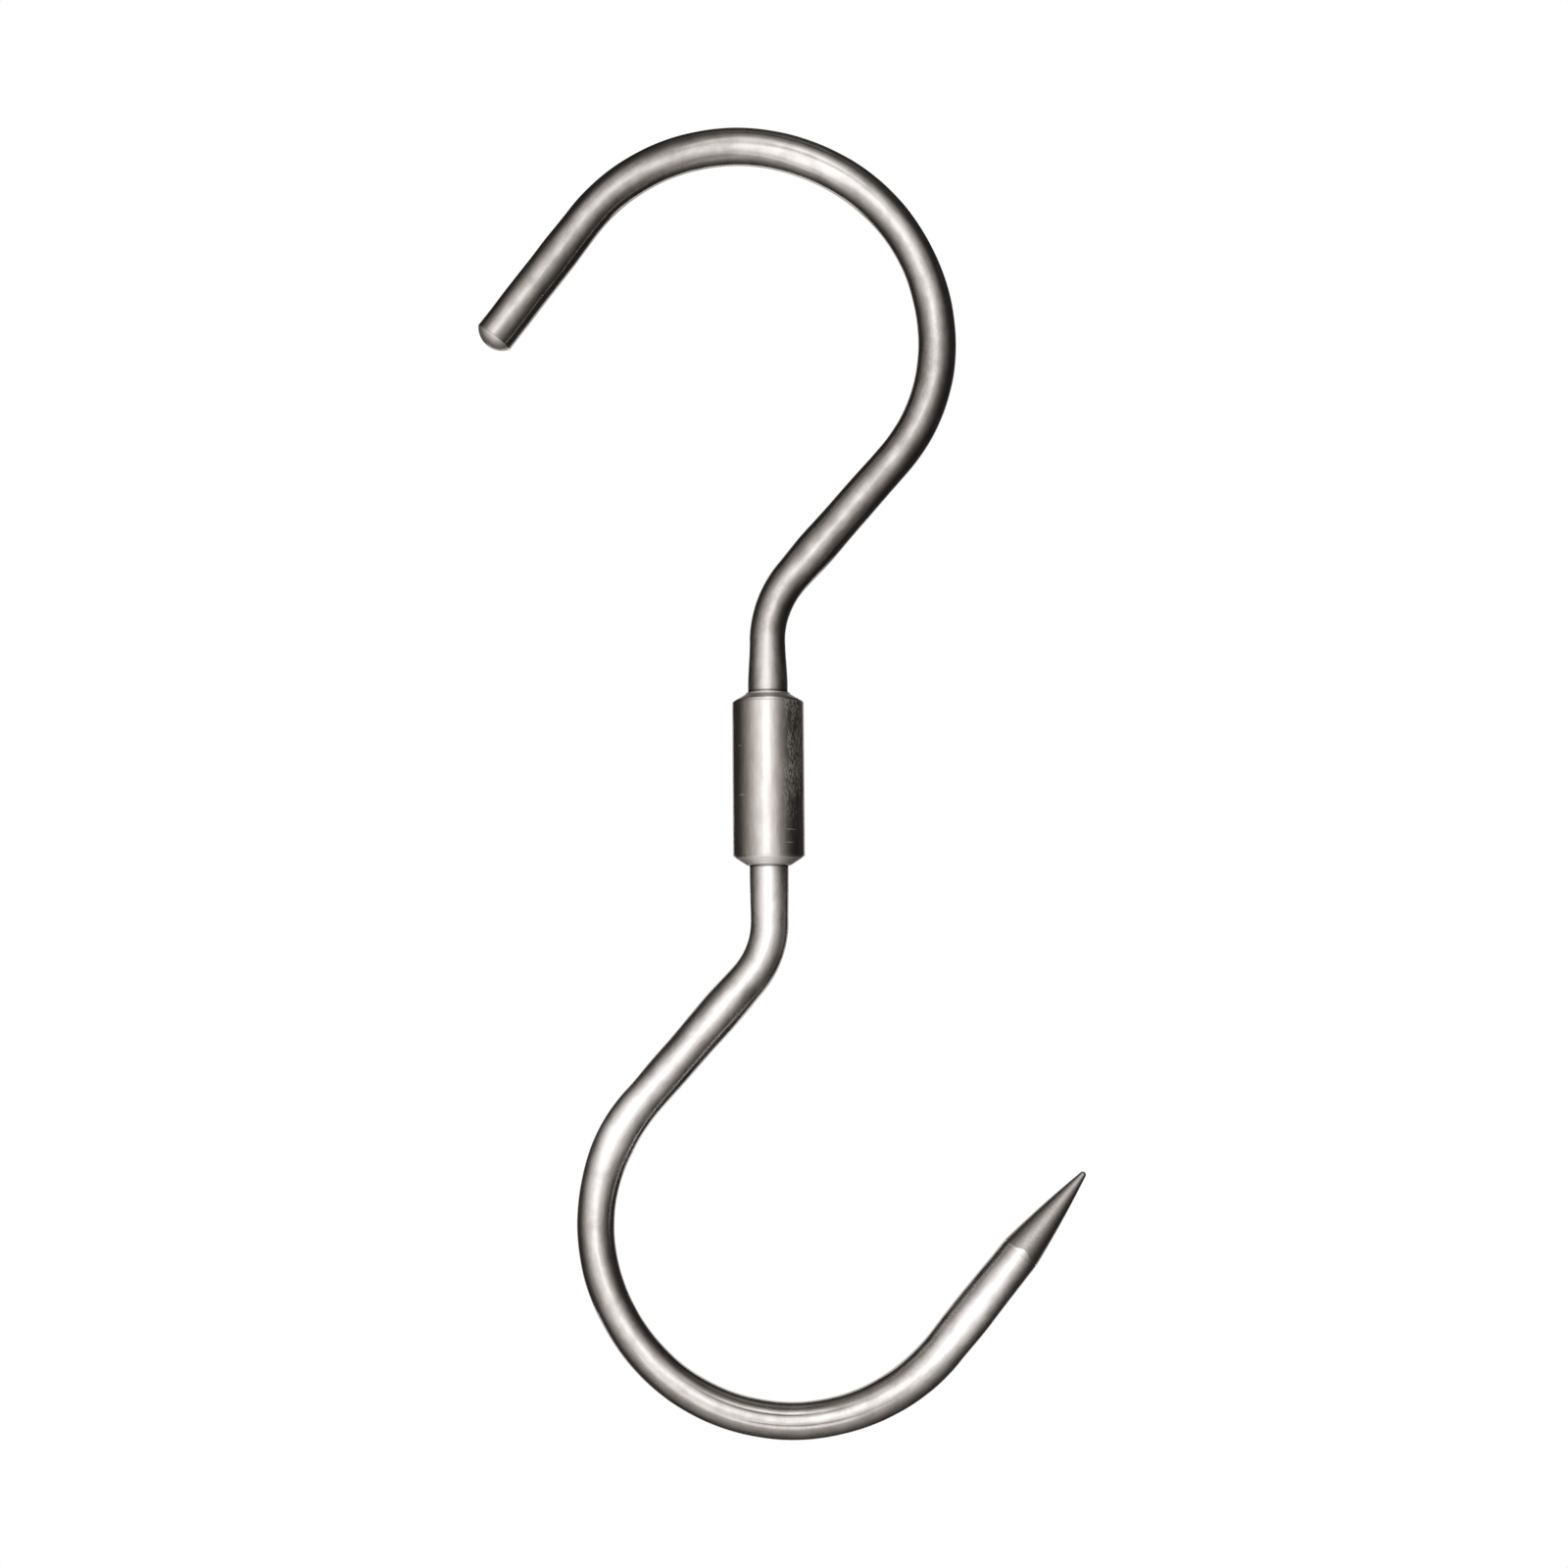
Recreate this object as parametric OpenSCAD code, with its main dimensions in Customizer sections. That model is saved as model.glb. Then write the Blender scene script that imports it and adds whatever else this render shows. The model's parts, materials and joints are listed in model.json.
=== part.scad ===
// Swivel S hook: two hooks cold bent from round stainless bar, joined by a turned barrel.
// Millimetres, +Z up. The hook hangs in the XZ plane, with its lower point on the +X side.
// The origin is the rail seat: the top of the inner side of the upper hook's bow.

/* [Bar] */
// Diameter of the straight bar
bar_d = 8; // [6:0.1:12]
// Length over which the bar swells from a bend's drawn-down diameter back to its own
ease_len = 9; // [4:0.5:10]

/* [Upper hook] */
// Straight shank between the barrel and the neck bend
upper_shank_run = 10.3; // [10:0.1:40]
// Centreline radius of the neck bend
upper_neck_r = 19.9; // [12:0.1:40]
// Angle of the neck bend
upper_neck_angle = 41.5; // [20:0.5:60]
// Diameter of the bar in the neck bend, where it is drawn down most
upper_neck_d = 7.2; // [5:0.1:12]
// Straight slant between the neck bend and the bow
upper_slant_run = 31.3; // [21:0.1:60]
// Diameter of the slant
upper_slant_d = 7.8; // [5:0.1:12]
// Centreline radius of the bow's shoulder, on the swivel side
upper_shoulder_r = 36; // [20:0.1:60]
// Angle of the shoulder
upper_shoulder_angle = 45.5; // [20:0.5:60]
// Centreline radius where the bow rises to its crown
upper_rise_r = 40.4; // [20:0.1:60]
// Angle of the rise
upper_rise_angle = 68; // [40:0.5:100]
// Centreline radius of the crown, which runs over the top and down to the leg
upper_crown_r = 39; // [20:0.1:60]
// Angle of the crown
upper_crown_angle = 70.5; // [40:0.5:100]
// Diameter of the bar round the whole bow
upper_bow_d = 7.7; // [5:0.1:12]
// Straight leg, up to the ring where the blunt end starts
upper_leg_run = 29.9; // [15:0.1:60]
// Height of the ground dome on the blunt end
dome_h = 2.1; // [0.5:0.1:3]

/* [Lower hook] */
// Straight shank between the barrel and the neck bend
lower_shank_run = 11.2; // [10:0.1:40]
// Centreline radius of the neck bend
lower_neck_r = 17.2; // [12:0.1:40]
// Angle of the neck bend
lower_neck_angle = 41.5; // [20:0.5:60]
// Diameter of the bar in the neck bend
lower_neck_d = 7.5; // [5:0.1:12]
// Straight slant between the neck bend and the bow
lower_slant_run = 32; // [21:0.1:60]
// Centreline radius of the bow's shoulder, on the swivel side
lower_shoulder_r = 36.9; // [20:0.1:60]
// Angle of the shoulder
lower_shoulder_angle = 71; // [20:0.5:80]
// Centreline radius of the belly that carries the load
lower_belly_r = 38.8; // [20:0.1:60]
// Angle of the belly
lower_belly_angle = 111; // [90:0.5:140]
// Diameter of the bar round the whole bow
lower_bow_d = 7.4; // [5:0.1:12]
// Straight leg, up to the ring where the ground point starts
lower_leg_run = 23.7; // [12:0.1:60]
// Length of the ground point
point_len = 20.4; // [12:0.1:40]
// Radius of the point's tip
tip_r = 0.65; // [0.3:0.05:1.5]
// How far the point's side bulges from a straight cone
point_bulge_h = 0.2; // [0.1:0.05:0.5]

/* [Ground ends] */
// Width of the small bevel that breaks the blunt end's edge
rim_w = 0.15; // [0.05:0.05:0.5]

/* [Swivel] */
// Diameter of the turned journal, the stretch of the lower shank in and below the barrel
journal_d = 7.8; // [5:0.1:11]
// Radial running clearance between the journal and its bore
running_gap = 0.08; // [0.03:0.01:0.1]
// Radial gap between the upper shank and the lip rolled in round it
lip_gap = 0.05; // [0.02:0.01:0.1]
// Height of the barrel's solid end, which the journal turns in
bearing_len = 12; // [6:0.5:30]
// Height of each upset head, without the upper head's cone
head_h = 5; // [3:0.5:12]
// How far a head stands out from the bar all round
head_flange = 1.3; // [0.8:0.1:3]
// Radial gap between the heads and the chamber wall
head_gap = 0.2; // [0.1:0.05:0.5]
// Free height between the lower head and the barrel's floor
thrust_gap = 0.05; // [0.02:0.01:0.2]
// Free height between the two heads, which holds grease
head_space = 10.5; // [2:0.5:30]
// Bevel round the free end of each head
head_bevel = 0.8; // [0.3:0.1:1.2]
// Wall of the barrel round its chamber
barrel_wall = 1.7; // [1:0.1:4]
// Slope of both of the barrel's ends, from the horizontal
end_slope = 33; // [20:1:50]
// Thickness of the rolled lip at the upper end
lip_t = 1.2; // [0.8:0.1:2]
// Radius of the soft shoulder that the rolling leaves round the upper end
roll_r = 1; // [0.4:0.1:2]
// Width of the chamfer that breaks the edge of the journal's bore
edge_break = 0.3; // [0.1:0.05:0.6]

/* [Hidden] */
$fn = 64;
steel = [0.72, 0.7, 0.68];
bright_steel = [0.8, 0.79, 0.77];
roll_steps = 8;
side_steps = 10;
tip_steps = 8;
dome_steps = 10;
straight_up = 90;
over_the_top = 180;
half_turn = 180;

// Each stretch of a bar laps this far into its neighbours. A straight one is thicker than the
// bends it meets by the seam, and its lapping end narrows by the tuck, so no two skins coincide.
lap_len = 0.2;
seam_w = 0.02;
tuck_w = 0.05;

// Between two bends of a bow the bar stays straight for this length
flat_run = 0.6;

// Radii across the swivel, from the bars outwards
bar_r = bar_d / 2;
journal_r = journal_d / 2;
bore_r = journal_r + running_gap;
mouth_r = bar_r + lip_gap;
head_r = bar_r + head_flange;
chamber_r = head_r + head_gap;
barrel_r = chamber_r + barrel_wall;

// Heights along the swivel, measured from the middle of the barrel
lip_rise = lip_t / cos(end_slope);
seat_rise = (head_r - mouth_r) * tan(end_slope);
barrel_len = bearing_len + thrust_gap + 2 * head_h + head_space + seat_rise + lip_rise;
top_z = barrel_len / 2;
bottom_z = -barrel_len / 2;
floor_z = bottom_z + bearing_len;
lip_z = top_z - lip_rise;
seat_z = lip_z - seat_rise;

// Bending tables, taken step by step from the shank's head outwards. A straight stretch is
// [length, 0, diameter] and a bend is [centreline radius, turn to the left, diameter].
underside_z = floor_z + thrust_gap;
upper_table = [
    [top_z - seat_z + upper_shank_run, 0, bar_d],
    [upper_neck_r, -upper_neck_angle, upper_neck_d],
    [upper_slant_run, 0, upper_slant_d],
    [upper_shoulder_r, upper_shoulder_angle, upper_bow_d],
    [flat_run, 0, upper_bow_d + seam_w],
    [upper_rise_r, upper_rise_angle, upper_bow_d],
    [flat_run, 0, upper_bow_d + seam_w],
    [upper_crown_r, upper_crown_angle, upper_bow_d],
    [upper_leg_run, 0, bar_d]
];
lower_table = [
    [underside_z - bottom_z + lower_shank_run, 0, journal_d],
    [lower_neck_r, -lower_neck_angle, lower_neck_d],
    [lower_slant_run, 0, bar_d],
    [lower_shoulder_r, lower_shoulder_angle, lower_bow_d],
    [flat_run, 0, lower_bow_d + seam_w],
    [lower_belly_r, lower_belly_angle, lower_bow_d],
    [lower_leg_run, 0, bar_d]
];

// A station is [x, z, heading]: a place on the centreline, and the way the bar runs there.
function bend_centre(from, step) =
    [from[0] - sign(step[1]) * step[0] * sin(from[2]), from[1] + sign(step[1]) * step[0] * cos(from[2])];
function after_straight(from, step) =
    [from[0] + step[0] * cos(from[2]), from[1] + step[0] * sin(from[2]), from[2]];
function after_bend(from, step) =
    let (centre = bend_centre(from, step), heading = from[2] + step[1], reach = sign(step[1]) * step[0])
    [centre[0] + reach * sin(heading), centre[1] - reach * cos(heading), heading];
function after(from, step) = step[1] == 0 ? after_straight(from, step) : after_bend(from, step);
function station(table, n) = n == 0 ? [0, 0, straight_up] : after(station(table, n - 1), table[n - 1]);

// The bend that goes over the top is the one during which the heading passes level
top_steps = [
    for (n = [0 : len(upper_table) - 1])
    if (station(upper_table, n)[2] <= over_the_top && station(upper_table, n + 1)[2] > over_the_top) n
];
top_bend = upper_table[top_steps[0]];
top_centre = bend_centre(station(upper_table, top_steps[0]), top_bend);
rail_seat = [top_centre[0], 0, seat_z + top_centre[1] + top_bend[0] - top_bend[2] / 2];

// The dome starts inside the bevel. Its sphere is found from its base and height.
dome_base_r = bar_r - rim_w;
dome_rise = dome_h - rim_w;
dome_r = (dome_base_r * dome_base_r + dome_rise * dome_rise) / (2 * dome_rise);
dome_start = acos(dome_base_r / dome_r);

// The point's side is an arc through its base and its tip, with the bulge as its rise
tip_centre_z = point_len - tip_r;
side_chord = norm([bar_r - tip_r, tip_centre_z]);
side_r = side_chord * side_chord / (8 * point_bulge_h) + point_bulge_h / 2;
side_half = asin(side_chord / 2 / side_r);
side_lean = atan((bar_r - tip_r) / tip_centre_z);
side_start = side_lean - side_half;
side_end = side_lean + side_half;
side_centre = [bar_r - side_r * cos(side_start), -side_r * sin(side_start)];
function on_arc(centre, radius, angle) = [centre[0] + radius * cos(angle), centre[1] + radius * sin(angle)];

// Profiles of the two ground ends, as [radius, height above the end of the leg]
dome_profile = [
    [bar_r, 0],
    for (i = [0 : dome_steps])
        on_arc([0, dome_h - dome_r], dome_r, dome_start + (straight_up - dome_start) * i / dome_steps)
];
point_profile = [
    for (i = [0 : side_steps])
        on_arc(side_centre, side_r, side_start + (side_end - side_start) * i / side_steps),
    for (i = [1 : tip_steps])
        on_arc([0, tip_centre_z], tip_r, straight_up * i / tip_steps)
];

module at_station(place) {
    translate([place[0], 0, place[1]]) rotate([0, straight_up - place[2], 0]) children();
}

// One straight stretch. It eases from the diameter of the step before it to its own, and from
// its own to that of the step after it. Its end profile is given as [radius, height] points.
module straight(length, d_before, d, d_after, end_profile) {
    rotate_extrude()
        polygon([
            [0, -lap_len],
            [d_before / 2 - tuck_w, -lap_len],
            [d_before / 2, 0],
            if (d_before != d) [d / 2, ease_len],
            if (d_after != d) [d / 2, length - ease_len],
            for (place = end_profile) [place[0], length + place[1]]
        ]);
}

module left_bend(radius, turn, d) {
    lap_angle = lap_len / radius * half_turn / PI;
    translate([-radius, 0, 0])
        rotate([90, 0, 0])
            rotate([0, 0, -lap_angle])
                rotate_extrude(angle = turn + 2 * lap_angle)
                    translate([radius, 0]) circle(d = d);
}

module bend(radius, turn, d) {
    if (turn > 0) left_bend(radius, turn, d);
    else mirror([1, 0, 0]) left_bend(radius, -turn, d);
}

// A whole bar, bent step by step, with the profile of its ground end
module bent_bar(table, ground_end) {
    last = len(table) - 1;
    for (n = [0 : last]) {
        d = table[n][2];
        d_before = n == 0 ? d : table[n - 1][2] + seam_w;
        d_after = n == last ? d : table[n + 1][2] + seam_w;
        lapped_end = [[d_after / 2, 0], [d_after / 2 - tuck_w, lap_len], [0, lap_len]];
        end_profile = n == last ? ground_end : lapped_end;
        at_station(station(table, n))
            if (table[n][1] == 0) straight(table[n][0], d_before, d, d_after, end_profile);
            else bend(table[n][0], table[n][1], d);
    }
}

// The upper head's cone bears on the inside of the rolled lip, and holds the barrel fast
module upper_shank_head() {
    cone_r = bar_r - tuck_w;
    cone_z = seat_z + (head_r - cone_r) * tan(end_slope);
    rotate_extrude()
        polygon([
            [0, cone_z],
            [cone_r, cone_z],
            [head_r, seat_z],
            [head_r, seat_z - head_h + head_bevel],
            [head_r - head_bevel, seat_z - head_h],
            [0, seat_z - head_h]
        ]);
}

// The lower head's flat underside turns on the barrel's floor
module lower_shank_head() {
    translate([0, 0, underside_z]) {
        cylinder(h = head_h - head_bevel, r = head_r);
        translate([0, 0, head_h - head_bevel])
            cylinder(h = head_bevel, r1 = head_r, r2 = head_r - head_bevel);
    }
}

module upper_hook() {
    color(steel) {
        upper_shank_head();
        translate([0, 0, seat_z]) bent_bar(upper_table, dome_profile);
    }
}

module lower_hook() {
    color(steel) {
        lower_shank_head();
        translate([0, 0, underside_z]) rotate([0, half_turn, 0]) bent_bar(lower_table, point_profile);
    }
}

// Turned from bar, bored from above to a solid end, with its upper rim rolled in over the head
module swivel_barrel() {
    land_r = bore_r + edge_break;
    roll_centre_r = barrel_r - roll_r;
    roll_centre_z = top_z - (roll_r + (roll_centre_r - mouth_r) * sin(end_slope)) / cos(end_slope);
    roll_end = straight_up - end_slope;
    color(bright_steel)
        rotate_extrude()
            polygon([
                [bore_r, bottom_z + edge_break],
                [land_r, bottom_z],
                [barrel_r, bottom_z + (barrel_r - land_r) * tan(end_slope)],
                for (i = [0 : roll_steps])
                    let (a = roll_end * i / roll_steps)
                    [roll_centre_r + roll_r * cos(a), roll_centre_z + roll_r * sin(a)],
                [mouth_r, top_z],
                [mouth_r, lip_z],
                [chamber_r, lip_z - (chamber_r - mouth_r) * tan(end_slope)],
                [chamber_r, floor_z],
                [bore_r, floor_z]
            ]);
}

// Moves the rail seat to the origin
module from_rail_seat() {
    translate(-rail_seat) children();
}

from_rail_seat() upper_hook();
from_rail_seat() swivel_barrel();
from_rail_seat() lower_hook();
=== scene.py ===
import json
import math

import bpy
from mathutils import Matrix, Vector


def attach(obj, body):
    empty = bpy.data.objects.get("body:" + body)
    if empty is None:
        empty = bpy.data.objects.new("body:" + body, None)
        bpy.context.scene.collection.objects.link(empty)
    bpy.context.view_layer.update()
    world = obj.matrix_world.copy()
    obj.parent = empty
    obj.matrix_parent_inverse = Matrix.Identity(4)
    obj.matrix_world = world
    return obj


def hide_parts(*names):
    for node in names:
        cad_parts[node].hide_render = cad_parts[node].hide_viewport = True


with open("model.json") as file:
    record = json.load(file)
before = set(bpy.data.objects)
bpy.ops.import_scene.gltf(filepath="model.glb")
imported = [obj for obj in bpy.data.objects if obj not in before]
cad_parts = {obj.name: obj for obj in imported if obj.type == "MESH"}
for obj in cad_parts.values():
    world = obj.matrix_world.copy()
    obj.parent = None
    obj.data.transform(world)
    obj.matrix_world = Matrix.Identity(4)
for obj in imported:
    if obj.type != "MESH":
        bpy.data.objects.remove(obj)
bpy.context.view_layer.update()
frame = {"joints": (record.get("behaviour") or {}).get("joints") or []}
mm = 0.001


# Swivel barrel. A sleeve turned from stainless bar and bored from above, so that its lower end stays
# solid for the lower hook's journal to turn in. Its upper rim is rolled in over the upper hook's
# head. The outside is polished lengthwise, and one side of it is scuffed from use.
bar_r = 4 * mm
journal_r = 3.9 * mm
bore_r = journal_r + 0.08 * mm
mouth_r = bar_r + 0.05 * mm
head_r = bar_r + 1.3 * mm
chamber_r = head_r + 0.2 * mm
barrel_r = chamber_r + 1.7 * mm
end_slope = math.tan(math.radians(33))
lip_rise = 1.2 * mm / math.cos(math.radians(33))
lip_step = 0.16 * mm
lip_w = 0.45 * mm
lip_lean = 0.03 * mm
bearing_len = 12 * mm
thrust_gap = 0.05 * mm
head_h = 5 * mm
head_space = 10.5 * mm
seat_rise = (head_r - mouth_r) * end_slope
barrel_len = bearing_len + thrust_gap + 2 * head_h + head_space + seat_rise + lip_rise
barrel_top = barrel_len / 2
barrel_bottom = -barrel_top
seat_height = barrel_top - lip_rise - seat_rise
floor_height = barrel_bottom + bearing_len
land_r = bore_r + 0.3 * mm
land_depth = 0.3 * mm
top_edge = barrel_top - (barrel_r - mouth_r) * end_slope
bottom_edge = barrel_bottom + (barrel_r - land_r) * end_slope
swivel = Vector(frame["joints"][0]["pos_m"])
weld_gap = 0.0005 * mm
fine_bump = 0.004 * mm
dark_barrel = (0.62, 0.577, 0.538)
pale_barrel = (0.78, 0.732, 0.69)
turned_steel = (0.97, 0.925, 0.89)
barrel_rim_tint = (0.62, 0.6, 0.58)
# A scratch is (angle round the barrel from the front, height, half length as an angle, half width).
barrel_scratches = [
    (-0.82, -3.6 * mm, 0.14, 0.12 * mm),
    (0.66, -10.4 * mm, 0.2, 0.1 * mm),
    (0.6, -13 * mm, 0.16, 0.1 * mm),
    (-0.9, 6.2 * mm, 0.08, 0.1 * mm),
]


def rounded(corners, closed=False, steps=6):
    """Points of a profile, from its corners as (radius, height, radius of the corner)."""
    points = []
    for i, (radius, height, corner) in enumerate(corners):
        here = Vector((radius, height))
        if not corner or (not closed and i in (0, len(corners) - 1)):
            points.append(here)
            continue
        before = (Vector(corners[i - 1][:2]) - here).normalized()
        after = (Vector(corners[(i + 1) % len(corners)][:2]) - here).normalized()
        half = before.angle(after) / 2
        centre = here + (before + after).normalized() * corner / math.sin(half)
        first = here + before * corner / math.tan(half) - centre
        sweep = first.angle_signed(here + after * corner / math.tan(half) - centre)
        points += [centre + Matrix.Rotation(-sweep * k / steps, 2) @ first for k in range(steps + 1)]
    return points


def turned(name, points, sides, closed=False):
    """A piece turned round the Z axis: one vertex is extruded along the profile, which is then spun."""
    bpy.ops.object.select_all(action="DESELECT")
    bpy.ops.mesh.primitive_plane_add(size=mm, location=(points[0][0], 0, points[0][1]))
    piece = bpy.context.object
    piece.name = piece.data.name = name
    bpy.ops.object.transform_apply()
    bpy.ops.object.mode_set(mode="EDIT")
    bpy.ops.mesh.select_all(action="SELECT")
    bpy.ops.mesh.merge(type="CENTER")
    way = points + points[:1] if closed else points
    for here, there in zip(way, way[1:]):
        step = (there[0] - here[0], 0, there[1] - here[1])
        bpy.ops.mesh.extrude_region_move(TRANSFORM_OT_translate={"value": step})
    bpy.ops.mesh.select_all(action="SELECT")
    bpy.ops.mesh.remove_doubles(threshold=weld_gap)
    bpy.ops.mesh.spin(steps=sides, angle=2 * math.pi, center=(0, 0, 0), axis=(0, 0, 1))
    bpy.ops.mesh.select_all(action="SELECT")
    bpy.ops.mesh.remove_doubles(threshold=weld_gap)
    bpy.ops.mesh.normals_make_consistent(inside=False)
    bpy.ops.object.mode_set(mode="OBJECT")
    return piece


class Field:
    """A number that varies over a surface. An expression on it adds the Math nodes that work it out."""

    def __init__(self, finish, socket):
        self.finish = finish
        self.socket = socket

    def maths(self, operation, *others):
        return self.finish.add("Math", {"operation": operation}, dict(enumerate((self, *others))))

    def __add__(self, other):
        return self.maths("ADD", other)

    def __sub__(self, other):
        return self.maths("SUBTRACT", other)

    def __rsub__(self, other):
        return self.maths("MULTIPLY_ADD", -1.0, other)

    def __mul__(self, other):
        return self.maths("MULTIPLY", other)

    def __truediv__(self, other):
        return self.maths("DIVIDE", other)

    def __pow__(self, other):
        return self.maths("POWER", other)

    __radd__ = __add__
    __rmul__ = __mul__

    def between(self, low, high, curve="SMOOTHSTEP"):
        """0 below low and 1 above high, or the other way round where low is the larger."""
        limits = {"From Min": low, "From Max": high}
        return self.finish.add("MapRange", {"interpolation_type": curve}, {"Value": self, **limits})

    def near(self, middle, reach):
        """1 at the middle, fading on both sides of it to about a third at its reach."""
        off = (self - middle) / reach
        return (off * off * -1).maths("EXPONENT")


class Finish:
    """A material, or the world, as it is put together from nodes."""

    def __init__(self, owner):
        owner.use_nodes = True
        self.owner = owner
        self.tree = owner.node_tree
        self.tree.nodes.clear()

    def add(self, kind, settings={}, inputs={}, output=0):
        node = self.tree.nodes.new("ShaderNode" + kind)
        for name, value in settings.items():
            setattr(node, name, value)
        for name, value in inputs.items():
            if isinstance(value, Field):
                self.tree.links.new(value.socket, node.inputs[name])
            else:
                node.inputs[name].default_value = value
        return Field(self, node.outputs[output]) if node.outputs else None

    def noise(self, place, grain, detail=2.0, roughness=0.5):
        """Noise from 0 to 1 whose grains are so many metres long along each axis."""
        scale = tuple(1 / size for size in grain)
        spread = self.add("VectorMath", {"operation": "MULTIPLY"}, {0: place, 1: scale})
        spec = {"Vector": spread, "Scale": 1.0, "Detail": detail, "Roughness": roughness}
        return self.add("TexNoise", {}, spec)

    def mix(self, share, low, high):
        """A colour between two, each (red, green, blue) or one mixed before, by a share from 0 to 1."""
        low, high = [end if isinstance(end, Field) else (*end, 1) for end in (low, high)]
        return self.add("Mix", {"data_type": "RGBA"}, {"Factor": share, 6: low, 7: high}, output=2)

    def metal(self, colour, roughness, height, depth, edge):
        """Bare metal. Its height counts in steps of the given depth, and edge is the tint that it takes
        at a grazing view."""
        bump = self.add("Bump", {}, {"Strength": 1.0, "Distance": depth, "Height": height})
        skin = {"Base Color": colour, "Metallic": 1.0, "Roughness": roughness, "Normal": bump}
        shader = self.add("BsdfPrincipled", {}, {**skin, "Specular Tint": (*edge, 1)})
        self.add("OutputMaterial", {}, {"Surface": shader})
        return self.owner


def barrel_finish():
    """Polished lengthwise, with a scuffed patch on the right of the front and a few scratches. The
    bevelled ends are turned, so they are paler and more matt, and catch the light as if crowned."""
    finish = Finish(bpy.data.materials.new("polished_barrel"))
    place = finish.add("TexCoord", {}, {}, output=3)
    place = finish.add("Mapping", {}, {"Vector": place, "Location": tuple(-swivel)})
    x, y, z = [finish.add("SeparateXYZ", {}, {0: place}, output=axis) for axis in range(3)]
    side = x.maths("ARCTAN2", y * -1)
    streaks = finish.noise(place, (0.35 * mm, 0.35 * mm, 14 * mm), detail=3)
    waves = finish.noise(place, (2.4 * mm, 2.4 * mm, 7 * mm), detail=2)
    grains = finish.noise(place, (0.2 * mm, 0.2 * mm, 0.8 * mm), detail=4, roughness=0.65)
    smears = finish.noise(place, (2.2 * mm, 2.2 * mm, 6 * mm), detail=3, roughness=0.6)
    turning = finish.noise(place, (9 * mm, 9 * mm, 0.12 * mm), detail=2)
    ends = z.between(top_edge, top_edge + 0.1 * mm) + z.between(bottom_edge, bottom_edge - 0.1 * mm)
    matt_ends = z.between(top_edge + 0.5 * mm, top_edge + 0.8 * mm)
    matt_ends = matt_ends + z.between(bottom_edge - 0.1 * mm, bottom_edge - 0.5 * mm) * 1.5
    crowns = z.between(top_edge, top_edge + 0.55 * mm, "LINEAR") * (0.8 * mm)
    crowns = crowns + z.between(barrel_top - 0.3 * mm, barrel_top, "LINEAR") * (0.4 * mm)
    crowns = crowns + z.between(bottom_edge, bottom_edge - 1.7 * mm, "LINEAR") * (2.6 * mm)
    patch = side.between(0.3, 0.6) * side.between(1.4, 1.1) * z.between(-17 * mm, 2 * mm) * (1 - ends)
    scuffs = patch * grains.between(0.43, 0.56) * smears.between(0.34, 0.52)
    light_wear = grains.between(0.62, 0.74) * smears.between(0.5, 0.66)
    marks = scuffs + light_wear * 0.4
    for angle, height, reach, half_width in barrel_scratches:
        marks = marks + side.near(angle, reach) * (z + x * 0.02).near(height, half_width)
    marks = marks.maths("MINIMUM", 1.0)
    tint = (streaks * 0.35 + smears * 0.65).between(0.3, 0.7) + marks * 0.9
    roughness = 0.13 + streaks * 0.05 + smears * 0.05 + marks * 0.42 + matt_ends * (0.2 + turning * 0.1)
    height = streaks * 0.25 + waves * 14 + marks * 0.4 + ends * turning * 0.5 + crowns / fine_bump
    colour = finish.mix(ends, finish.mix(tint, dark_barrel, pale_barrel), turned_steel)
    return finish.metal(colour, roughness, height, fine_bump, barrel_rim_tint)


barrel_corners = [
    (bore_r, barrel_bottom + land_depth, 0.08 * mm),
    (land_r, barrel_bottom, 0.1 * mm),
    (barrel_r, bottom_edge, 0.12 * mm),
    (barrel_r, top_edge, 0.4 * mm),
    (mouth_r + lip_w, barrel_top - lip_w * end_slope - lip_step, 0.04 * mm),
    (mouth_r + lip_w - lip_lean, barrel_top - (lip_w - lip_lean) * end_slope, 0.07 * mm),
    (mouth_r, barrel_top, 0.12 * mm),
    (mouth_r, barrel_top - lip_rise, 0),
    (chamber_r, barrel_top - lip_rise - (chamber_r - mouth_r) * end_slope, 0),
    (chamber_r, floor_height, 0),
    (bore_r, floor_height, 0),
]
barrel = turned("barrel", rounded(barrel_corners, closed=True), sides=144, closed=True)
barrel.data.transform(Matrix.Translation(swivel))
barrel.data.materials.append(barrel_finish())
bpy.ops.object.shade_smooth_by_angle(angle=math.radians(14))
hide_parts("swivel_barrel")
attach(barrel, "upper")


# Upper hook. Drawn stainless bar with a head forged on its end, cold bent step by step round
# formers, which draws the bar down a little in each bend. The head sits in the barrel under the rolled
# rim. The free end is cut square and ground to a shallow dome.
ease_len = 9 * mm
flat_run = 0.6 * mm
ring_step = 0.5 * mm
head_bevel = 0.8 * mm
upper_held = head_h + barrel_top - seat_height
# A row of a bending table is a straight as (length, 0, diameter) or a bend as (radius, degrees to the
# left, diameter).
upper_table = [
    (upper_held + 10.3 * mm, 0, 8 * mm),
    (19.9 * mm, -41.5, 7.2 * mm),
    (31.3 * mm, 0, 7.8 * mm),
    (36 * mm, 45.5, 7.7 * mm),
    (flat_run, 0, 7.7 * mm),
    (40.4 * mm, 68, 7.7 * mm),
    (flat_run, 0, 7.7 * mm),
    (39 * mm, 70.5, 7.7 * mm),
    (29.9 * mm, 0, 8 * mm),
]
dome_h = 2.1 * mm
rim_w = 0.15 * mm
edge_ring = 0.01 * mm
dent_depth = 0.12 * mm
dent_size = 9 * mm
dents_in = 8 * mm
dents_out = 4 * mm
bar_bump = 0.01 * mm
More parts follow.
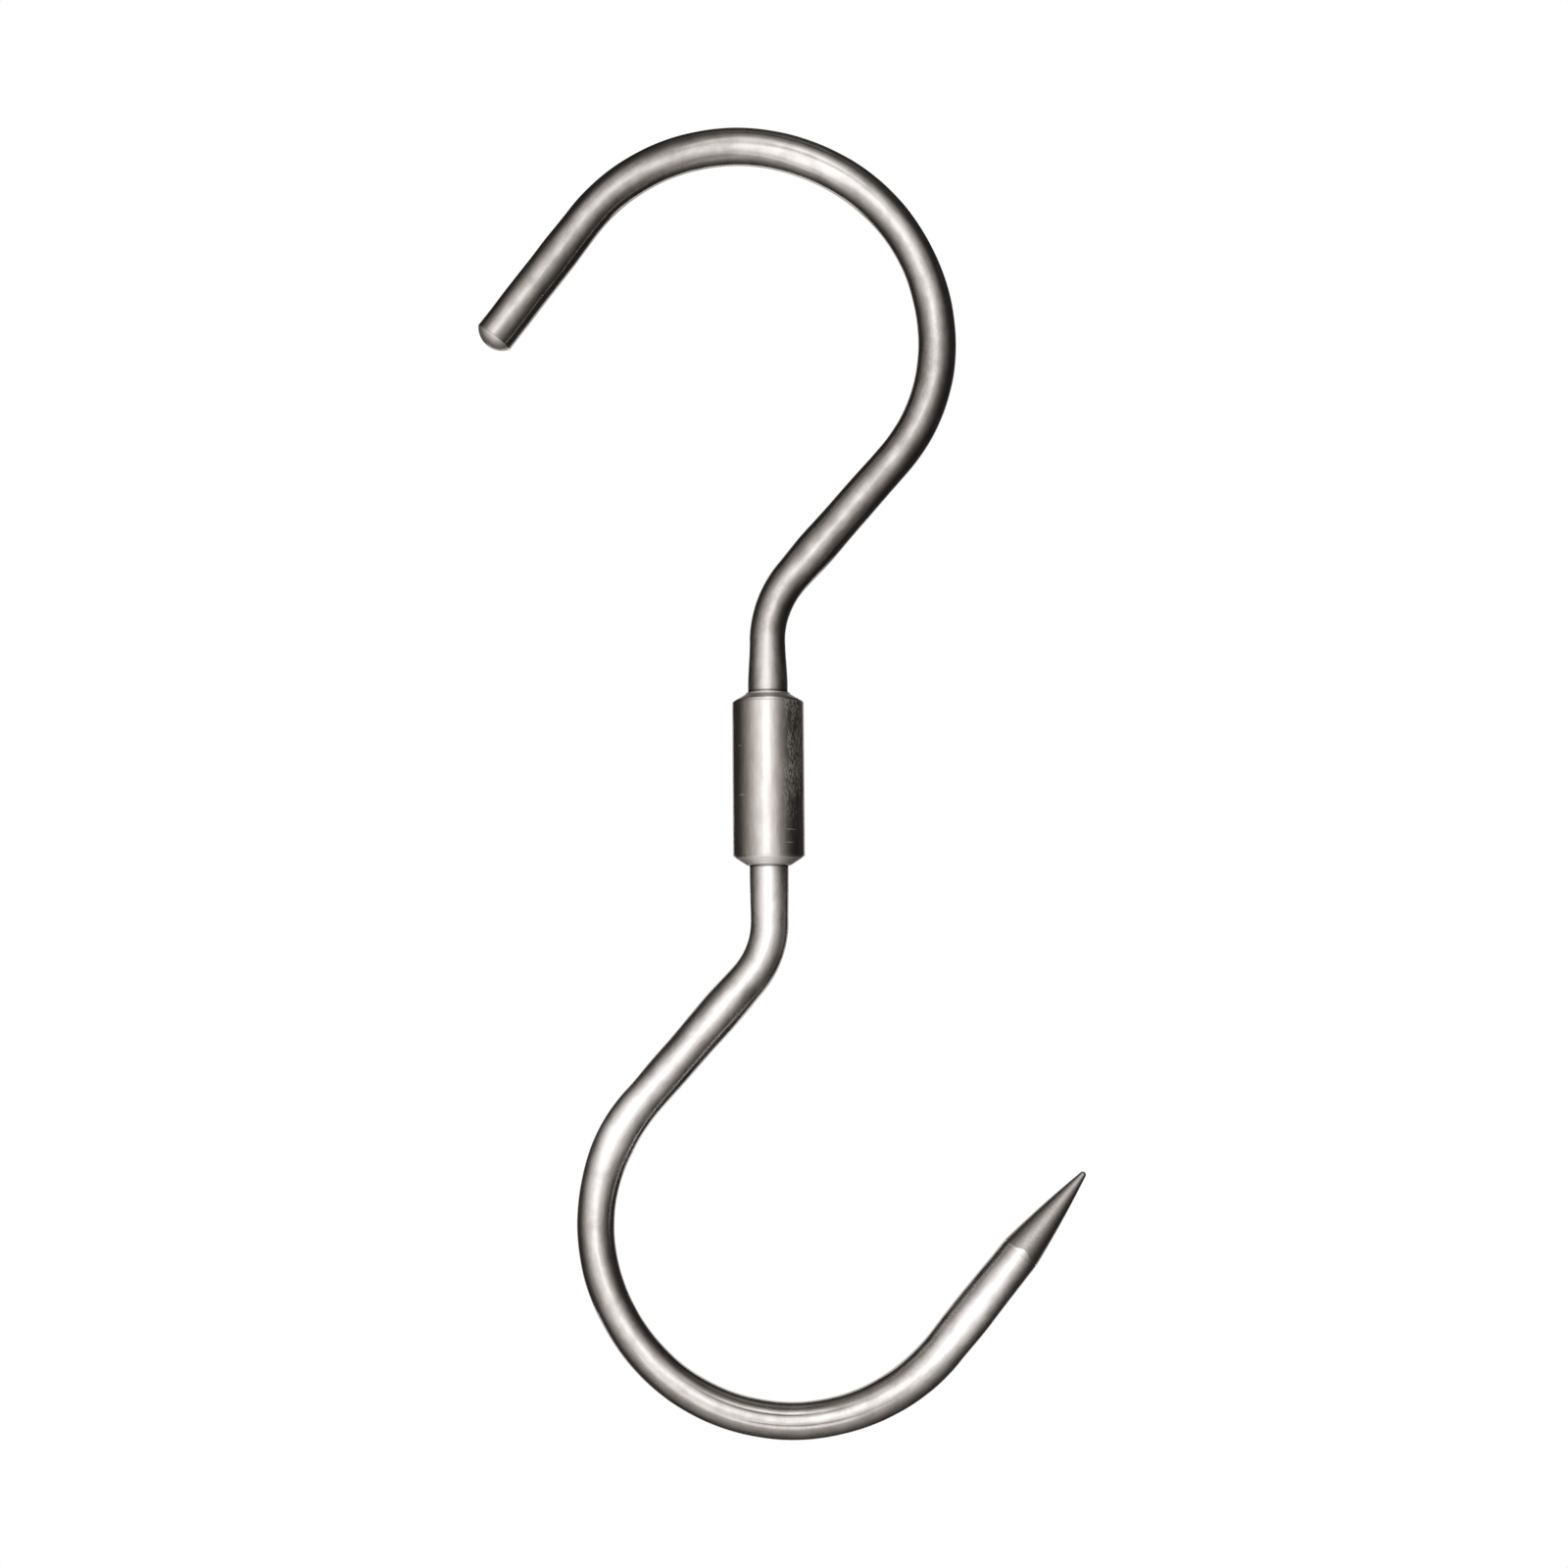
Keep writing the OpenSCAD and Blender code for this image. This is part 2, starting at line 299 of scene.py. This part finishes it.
# Painted shade: the width of the thin dark ring on the bar at the barrel's mouth, and how far out of the
# mouth it lies.
mouth_shade_w = 0.2 * mm
mouth_shade_rise = 0.12 * mm
ring_w = 0.5 * mm
# Pale steel for stretches of the bar that are painted lighter, partly as wear and partly as painted
# highlight.
worn_and_highlight_steel = (0.98, 0.945, 0.915)
# Painted shade: the colour of that dark ring at the barrel's mouth.
mouth_shade_colour = (0.1, 0.09, 0.08)
rim_tint = (0.6, 0.58, 0.56)


def run_of(row):
    """Length of bar that a row of the table takes."""
    return row[0] * math.radians(abs(row[1])) if row[1] else row[0]


def bend_line(name, table, start, heading):
    """The bar's centreline as a curve, walked along the table from its start."""
    place = Vector(start)
    points = [place.copy()]
    for row in table:
        steps = math.ceil(run_of(row) / ring_step)
        for _ in range(steps):
            heading += math.radians(row[1]) / steps / 2
            place += Vector((math.cos(heading), 0, math.sin(heading))) * run_of(row) / steps
            heading += math.radians(row[1]) / steps / 2
            points.append(place.copy())
    curve = bpy.data.curves.new(name, "CURVE")
    curve.dimensions = "3D"
    spline = curve.splines.new("POLY")
    spline.points.add(len(points) - 1)
    for point, place in zip(spline.points, points):
        point.co = (*place, 1)
    line = bpy.data.objects.new(name, curve)
    bpy.context.scene.collection.objects.link(line)
    return line


def bar_profile(table, head_points, swells):
    """Profile of the straight bar before bending: its head, then a ring at each step along it. The bar's
    diameter eases at both ends of each long straight. A swell, as (distance from the bar's end, half
    length, extra radius) in millimetres, is where a former has squeezed it."""
    widths = []
    run = 0
    for n, (length, turn, own) in enumerate(table):
        if not turn and length > ease_len:
            if n == 0:
                widths += [(run, own)]
            else:
                widths += [(run, table[n - 1][2]), (run + ease_len, own)]
            if n == len(table) - 1:
                widths += [(run + 2 * length, own)]
            else:
                widths += [(run + length - ease_len, own), (run + length, table[n + 1][2])]
        run += run_of(table[n])
    points = list(head_points)
    height = points[-1][1]
    while height < run - 1.5 * ring_step:
        height += ring_step
        spans = [(low, high) for low, high in zip(widths, widths[1:]) if low[0] <= height < high[0]]
        (low, low_d), (high, high_d) = spans[0]
        share = (height - low) / (high - low)
        share = share * share * (3 - 2 * share)
        from_end = (run - height) / mm
        radius = (low_d + (high_d - low_d) * share) / 2
        for distance, half_length, extra in swells:
            radius += extra * mm * math.exp(-((from_end - distance) / half_length) ** 2)
        points.append((radius, height))
    return points, run


def bent(bar, line, held, end_run):
    """Keeps each point's place on the straight bar for the finish, then works and bends the bar. The
    formers' shallow dents fade out before the length that the barrel holds, and before the bar's end."""
    straight = bar.data.attributes.new("straight_bar", "FLOAT_VECTOR", "POINT")
    straight.data.foreach_set("vector", [part for v in bar.data.vertices for part in v.co])
    worked = bar.vertex_groups.new(name="worked")
    for v in bar.data.vertices:
        share = min(max((v.co.z - held) / dents_in, 0), max((end_run - v.co.z) / dents_out, 0), 1)
        worked.add([v.index], share, "REPLACE")
    dents = bpy.data.textures.new("former_marks", "CLOUDS")
    dents.noise_scale = dent_size
    dents.noise_depth = 1
    for kind, settings in (
        ("DISPLACE", {"texture": dents, "strength": dent_depth, "mid_level": 0.6, "vertex_group": "worked"}),
        ("CURVE", {"object": line, "deform_axis": "POS_Z"}),
    ):
        change = bar.modifiers.new(kind, kind)
        for name, value in settings.items():
            setattr(change, name, value)
        bpy.context.view_layer.objects.active = bar
        bpy.ops.object.modifier_apply(modifier=change.name)
    bpy.data.objects.remove(line)
    bpy.ops.object.shade_smooth_by_angle(angle=math.radians(7))


def bar_finish(name, low, high, front, held, end_run, marks, stretches):
    """Drawn bar, polished along its length, with long lines, a fine grain across it, faint smears, the
    flats and lines that the formers pressed into it, bright rubs, stretches painted lighter as worn steel
    and as painted highlight, and a thin dark ring of painted shade where the barrel holds it. Front is
    the straight bar's own y that faces forwards."""
    finish = Finish(bpy.data.materials.new(name))
    place = finish.add("Attribute", {"attribute_name": "straight_bar"}, {}, output=1)
    x, y, z = [finish.add("SeparateXYZ", {}, {0: place}, output=axis) for axis in range(3)]
    around = (x * front).maths("ARCTAN2", y * front) * (bar_r / mm)
    along = (end_run - z) / mm
    lines = finish.noise(place, (0.3 * mm, 0.3 * mm, 16 * mm), detail=3)
    bands = finish.noise(place, (0.9 * mm, 0.9 * mm, 9 * mm), detail=3, roughness=0.6)
    waves = finish.noise(place, (3.2 * mm, 3.2 * mm, 7 * mm), detail=1)
    smears = finish.noise(place, (2.2 * mm, 2.2 * mm, 3.4 * mm), detail=4, roughness=0.6)
    across = finish.noise(place, (1.6 * mm, 1.6 * mm, 0.35 * mm), detail=3, roughness=0.55)
    grains = finish.noise(place, (0.22 * mm, 0.22 * mm, 0.6 * mm), detail=3, roughness=0.6)
    rubs = grains.between(0.6, 0.74) * smears.between(0.5, 0.68) * 0.25
    presses = 0
    for distance, angle, half_length, half_width, press, rub in marks:
        spot = along.near(distance, half_length) * around.near(angle * bar_r / mm, half_width)
        presses = spot * press + presses
        if rub:
            rubs = spot * (grains.between(0.42, 0.6) * rub) + rubs
    rubs = rubs.maths("MINIMUM", 1.0)
    bright = lean = flat = matt = 0
    for distance, half_length, share, tilt, flatter, rougher in stretches:
        here = along.near(distance, half_length)
        bright = here * share + bright
        lean = here * tilt + lean
        flat = here * (flatter / (2 * bar_r)) + flat
        matt = here * rougher + matt
    bright = bright.between(0, 1, "LINEAR") * (smears.between(0.34, 0.58) * 0.35 + 0.65)
    tint = (across * 0.1 + bands * 0.3 + smears * 0.6).between(0.32, 0.68)
    tint = tint * 0.85 + rubs * 0.4
    roughness = 0.13 + lines * 0.05 + smears * 0.06 + rubs * 0.24
    roughness = roughness + matt * (smears.between(0.34, 0.66) + 0.5)
    sideways = x * front
    height = lines * 0.08 + bands * 2 + waves * 7.5 + across * 0.02 + presses
    height = height + (flat * sideways + lean) * sideways / bar_bump
    # Painted shade: a thin dark ring just outside the barrel's mouth, in place of the shade of the gap
    # there.
    mouth_shade = z.near(held + mouth_shade_rise, mouth_shade_w) * 0.85
    # Stretches are painted lighter or darker towards pale steel: partly wear, partly painted highlight.
    colour = finish.mix(bright, finish.mix(tint, low, high), worn_and_highlight_steel)
    colour = finish.mix(mouth_shade, colour, mouth_shade_colour)
    return finish.metal(colour, roughness, height, bar_bump, rim_tint)


def ground_finish(name, grain, low, high, rough, end_run, burnish_and_highlight_colour, scallop, steeper):
    """Ground steel: matt, with fine marks left by the wheel, and a burnished ring at its edge that is
    painted lighter, so that it is also a painted highlight line along that edge. The ring is a little
    uneven where the wheel ran off, with a scallop at the front of the given depth. The
    wheel's marks turn the light as a face that is so much steeper would."""
    finish = Finish(bpy.data.materials.new(name))
    place = finish.add("Attribute", {"attribute_name": "straight_bar"}, {}, output=1)
    x, y, z = [finish.add("SeparateXYZ", {}, {0: place}, output=axis) for axis in range(3)]
    marks = finish.noise(place, grain, detail=3, roughness=0.6)
    speckle = finish.noise(place, (0.3 * mm, 0.3 * mm, 0.3 * mm), detail=3, roughness=0.6)
    wander = finish.noise(place, (1.3 * mm, 1.3 * mm, 40 * mm), detail=2)
    from_front = (x * -1).maths("ARCTAN2", y * -1)
    ring_end = wander * ring_w + from_front.near(0, 0.34) * scallop
    ring = (z - end_run - ring_end).between(0.06 * mm, -0.06 * mm)
    tint = (marks * 0.6 + speckle * 0.4).between(0.35, 0.65)
    height = marks * 1.2 + speckle * 0.8 + (z - end_run) * (steeper / fine_bump)
    # Burnish and painted highlight: the ring at the ground edge is mixed towards a pale colour.
    colour = finish.mix(ring, finish.mix(tint, low, high), burnish_and_highlight_colour)
    return finish.metal(colour, rough + marks * 0.12 - ring * 0.1, height, fine_bump, rim_tint)


upper_head = [Vector(corner) for corner in (
    (0, 0),
    (head_r - head_bevel, 0),
    (head_r, head_bevel),
    (head_r, head_h),
    (bar_r, head_h + (head_r - bar_r) * end_slope),
)]
upper_swells = [(109, 8, -0.16), (183, 7, 0.24)]
upper_points, upper_run = bar_profile(upper_table, upper_head, upper_swells)
dome_base = bar_r - rim_w
dome_rise = dome_h - rim_w
dome_r = (dome_base**2 + dome_rise**2) / (2 * dome_rise)
dome_start = math.acos(dome_base / dome_r)
dome_steps = 16
dome_centre = upper_run + dome_h - dome_r
upper_points += [Vector((bar_r, upper_run)), Vector((bar_r, upper_run + edge_ring))]
for k in range(dome_steps + 1):
    angle = dome_start + (math.pi / 2 - dome_start) * k / dome_steps
    upper_points.append(Vector((dome_r * math.cos(angle), dome_centre + dome_r * math.sin(angle))))
upper_points[-1][0] = 0
upper_hook = turned("hook_upper", upper_points, sides=96)
# A mark is (distance from the free end, angle from the front towards the inside, half length, half
# width, height of the press, share of rub), in millimetres and radians, and the press in hundredths of
# a millimetre.
upper_marks = [
    (80, -0.62, 17, 0.35, -7, 0),
    (37, -0.85, 14, 1.1, -14, 0),
    (79, -0.04, 14, 0.42, -9, 0),
    (84, 0.3, 10, 1.2, -14, 0),
    (90, -0.95, 24, 1.2, -22, 0),
    (117, -0.75, 5, 0.6, -9, 0.2),
    (48, 0.95, 7, 0.5, 3, 2),
    (61, 0.8, 7, 0.5, -5, 1.6),
    (147, 1.2, 2.2, 0.3, 3, 1),
    (154, 1.2, 2.6, 0.3, 3, 1),
    (177, -0.85, 9, 0.3, 3, 0.3),
]
# A stretch is (distance from the free end, half length, how much lighter it is painted, as worn steel and as
# painted highlight, slope by which its front leans outwards, share of its roundness that is flattened, added
# roughness).
upper_stretches = [
    (20, 16, 0, 0.04, 0, 0),
    (52, 14, 0, 0.2, 0, 0),
    (80, 15, 0.5, 0.12, 0.1, 0.05),
    (112, 18, 0.3, 0.03, 0.1, 0.02),
    (175, 20, 0.1, -0.08, 0.05, 0),
    (208, 9, 0.4, 0, 0.1, 0.1),
]
upper_hook.data.materials.append(bar_finish(
    "drawn_bar", low=(0.41, 0.383, 0.358), high=(0.64, 0.601, 0.566), front=1, held=upper_held,
    end_run=upper_run, marks=upper_marks, stretches=upper_stretches))
# The dome's ring colour is a burnished edge and a painted highlight line.
upper_hook.data.materials.append(ground_finish(
    "ground_dome", grain=(0.18 * mm, 2 * mm, 0.3 * mm), low=(0.8, 0.755, 0.71), high=(0.98, 0.94, 0.9),
    rough=0.38, end_run=upper_run, burnish_and_highlight_colour=(0.98, 0.96, 0.93), scallop=0, steeper=0.35))
for face in upper_hook.data.polygons:
    face.material_index = int(face.center.z > upper_run)
upper_start = swivel + Vector((0, 0, seat_height - head_h))
upper_line = bend_line("upper_bend_line", upper_table, upper_start, math.pi / 2)
bent(upper_hook, upper_line, upper_held, upper_run)
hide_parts("upper_hook")
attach(upper_hook, "upper")


# Lower hook. The same bar, with a turned journal under its head, bent the other way and ground to a
# slightly bellied point. The wheel ran off unevenly round the bar, which left a burnished scalloped edge,
# painted lighter as a highlight line too.
lower_held = head_h + thrust_gap + bearing_len
lower_table = [
    (lower_held + 11.2 * mm, 0, 7.8 * mm),
    (17.2 * mm, -41.5, 7.5 * mm),
    (32 * mm, 0, 8 * mm),
    (36.9 * mm, 71, 7.4 * mm),
    (flat_run, 0, 7.4 * mm),
    (38.8 * mm, 111, 7.4 * mm),
    (23.7 * mm, 0, 8 * mm),
]
point_len = 20.4 * mm
tip_r = 0.65 * mm
point_bulge = 0.2 * mm
side_steps = 30
tip_steps = 20

lower_head = [Vector(corner) for corner in (
    (0, 0),
    (head_r - head_bevel, 0),
    (head_r, head_bevel),
    (head_r, head_h),
    (journal_r, head_h),
    (journal_r, head_h + ring_step),
)]
lower_swells = [(25.6, 16, 0.42), (137.6, 10, 0.38), (173.6, 10, 0.24)]
lower_points, lower_run = bar_profile(lower_table, lower_head, lower_swells)
tip_centre = point_len - tip_r
side_chord = math.hypot(bar_r - tip_r, tip_centre)
side_r = side_chord**2 / (8 * point_bulge) + point_bulge / 2
side_half = math.asin(side_chord / 2 / side_r)
side_lean = math.atan((bar_r - tip_r) / tip_centre)
side_start = side_lean - side_half
lower_points.append(Vector((bar_r, lower_run - 0.3 * ring_step)))
for k in range(side_steps + 1):
    angle = side_start + 2 * side_half * k / side_steps
    lower_points.append(Vector((bar_r + side_r * (math.cos(angle) - math.cos(side_start)),
                                lower_run + side_r * (math.sin(angle) - math.sin(side_start)))))
for k in range(1, tip_steps + 1):
    angle = math.pi / 2 * k / tip_steps
    lower_points.append(Vector((tip_r * math.cos(angle), lower_run + tip_centre + tip_r * math.sin(angle))))
lower_points[-1][0] = 0
lower_hook = turned("hook_lower", lower_points, sides=96)
lower_marks = [
    (77, -0.18, 12, 0.38, -12, 0),
    (83, 0.48, 13, 0.36, -14, 0),
    (86, 0.88, 15, 0.4, -8, 0),
    (171, 1.2, 5, 0.35, 3, 1),
    (183, 1.1, 4, 0.45, -4, 0.6),
    (195, 0.15, 2.5, 1.6, 6, 0),
    (208, 1.15, 12, 0.9, 30, 0),
]
lower_stretches = [
    (36, 16, 1, -0.1, 0.2, 0.08),
    (80, 16, -0.2, 0, 0, 0),
    (112, 26, 0.3, 0.1, 0.05, 0),
    (158, 14, 1, -0.04, 0.28, 0.07),
    (186, 11, 0.6, 0, 0, 0.05),
    (213, 13, 1, 0.03, 0.25, 0.1),
]
# The same steel as the upper hook, painted lighter than it: painted light, for the brighter light that falls
# on the lower hook.
lower_hook.data.materials.append(bar_finish(
    "drawn_bar_lower", low=(0.53, 0.496, 0.465), high=(0.81, 0.763, 0.725), front=-1, held=lower_held,
    end_run=lower_run + point_len, marks=lower_marks, stretches=lower_stretches))
# The point's ring colour is a burnished scalloped edge and a painted highlight line.
lower_hook.data.materials.append(ground_finish(
    "ground_point", grain=(0.5 * mm, 0.5 * mm, 0.12 * mm), low=(0.41, 0.38, 0.35),
    high=(0.61, 0.575, 0.535), rough=0.27, end_run=lower_run, burnish_and_highlight_colour=(0.95, 0.93, 0.9),
    scallop=0.8 * mm, steeper=0))
for face in lower_hook.data.polygons:
    face.material_index = int(face.center.z > lower_run)
lower_start = swivel + Vector((0, 0, floor_height + thrust_gap + head_h))
lower_line = bend_line("lower_bend_line", lower_table, lower_start, -math.pi / 2)
bent(lower_hook, lower_line, lower_held, lower_run)
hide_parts("lower_hook")
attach(lower_hook, "lower")


# Studio. The hook hangs free in front of a white backdrop, over a pale floor. A soft tent of light on
# the camera's side, with three softboxes in it, is brightest a little to the left, and a faint glow lies
# behind the hook and above and below it. The camera looks up at the swivel from just below it.
def is_seen(finish, *kinds):
    """1 for the kinds of ray that are named, as Light Path calls them, and 0 for the rest."""
    outputs = {"camera": 0, "glossy": 3, "transmission": 6}
    seen = finish.add("LightPath", {}, {}, output=outputs[kinds[0]])
    for kind in kinds[1:]:
        seen = seen.maths("MAXIMUM", finish.add("LightPath", {}, {}, output=outputs[kind]))
    return seen


def paper(name):
    """Pale paper that shows as pure white, to the camera and in metal and glass."""
    finish = Finish(bpy.data.materials.new(name))
    matt = finish.add("BsdfDiffuse", {}, {"Color": (0.8, 0.8, 0.8, 1)})
    white = finish.add("Emission", {}, {"Color": (1, 1, 1, 1), "Strength": 1.0})
    seen = is_seen(finish, "camera", "glossy", "transmission")
    surface = finish.add("MixShader", {}, {0: seen, 1: matt, 2: white})
    finish.add("OutputMaterial", {}, {"Surface": surface})
    return finish.owner


for name, place, size, turn in (
    ("floor", (0, 4, -1.4), 4.0, (0, 0, 0)),
    ("backdrop", (0, 1.0, -0.12), 1.15, (math.pi / 2, 0, 0)),
):
    bpy.ops.object.select_all(action="DESELECT")
    bpy.ops.mesh.primitive_plane_add(size=size, location=place, rotation=turn)
    bpy.context.object.name = name
    bpy.context.object.data.materials.append(paper(name + "_paper"))

world = bpy.data.worlds.new("studio")
bpy.context.scene.world = world
sky = Finish(world)
direction = sky.add("TexCoord", {}, {}, output=0)
direction = sky.add("VectorMath", {"operation": "NORMALIZE"}, {0: direction})
x, y, z = [sky.add("SeparateXYZ", {}, {0: direction}, output=axis) for axis in range(3)]
ahead = (1.0001 - y) * 0.5
sideways = x / ahead + 0.1
upwards = z / ahead - 0.22
left = sideways * sideways / 0.95**2
right = sideways * sideways / 0.6**2
above = upwards * upwards / 0.8**2
below = upwards * upwards / 1.15**2
spread = left + (right - left) * sideways.between(-0.05, 0.05)
spread = spread + below + (above - below) * upwards.between(-0.05, 0.05)
tent = (spread**0.7 * -1).maths("EXPONENT") * 1.45
behind = y.between(0.1, 0.9) * 0.022
poles = z.maths("ABSOLUTE").between(0.7, 1) * 0.07
level = tent + behind + poles + 0.02
tone = sky.mix(level.between(0.2, 1.1), (1, 0.962, 0.92), (1, 1.008, 1.035))
light = sky.add("Background", {}, {"Color": tone, "Strength": level})
plain = sky.add("Background", {}, {"Color": (1, 1, 1, 1), "Strength": 1.0})
shown = sky.add("MixShader", {}, {0: is_seen(sky, "camera", "transmission"), 1: light, 2: plain})
sky.add("OutputWorld", {}, {"Surface": shown})

middle = Vector((10 * mm, 0, -125 * mm))
softbox_distance = 0.95
for name, way, wide, tall, power in (
    ("key_softbox", (-0.12, -0.98, 0.07), 0.4, 0.5, 0.12),
    ("top_softbox", (0.05, -0.6, 0.8), 0.4, 0.25, 0.1),
    ("low_softbox", (-0.25, -0.74, -0.62), 0.5, 0.25, 0.12),
):
    lamp = bpy.data.lights.new(name, "AREA")
    lamp.shape = "RECTANGLE"
    lamp.size = wide
    lamp.size_y = tall
    lamp.energy = power
    stand = bpy.data.objects.new(name, lamp)
    stand.location = middle + Vector(way).normalized() * softbox_distance
    stand.rotation_euler = (middle - stand.location).to_track_quat("-Z", "Y").to_euler()
    bpy.context.scene.collection.objects.link(stand)

camera_distance = 588.2 * mm
camera_rise = math.radians(4.4)
camera_roll = math.radians(-0.44)
aim = Vector((8.874 * mm, 0, -126.214 * mm))
camera = bpy.data.objects.new("camera", bpy.data.cameras.new("camera"))
camera.data.lens = 67.5
camera.data.sensor_width = 36
stand_off = Vector((0, -math.cos(camera_rise), -math.sin(camera_rise))) * camera_distance
camera_turn = Matrix.Rotation(math.pi / 2 + camera_rise, 4, "X") @ Matrix.Rotation(camera_roll, 4, "Z")
camera.matrix_world = Matrix.Translation(aim + stand_off) @ camera_turn
bpy.context.scene.collection.objects.link(camera)
bpy.context.scene.camera = camera
bpy.context.scene.view_settings.view_transform = "Standard"
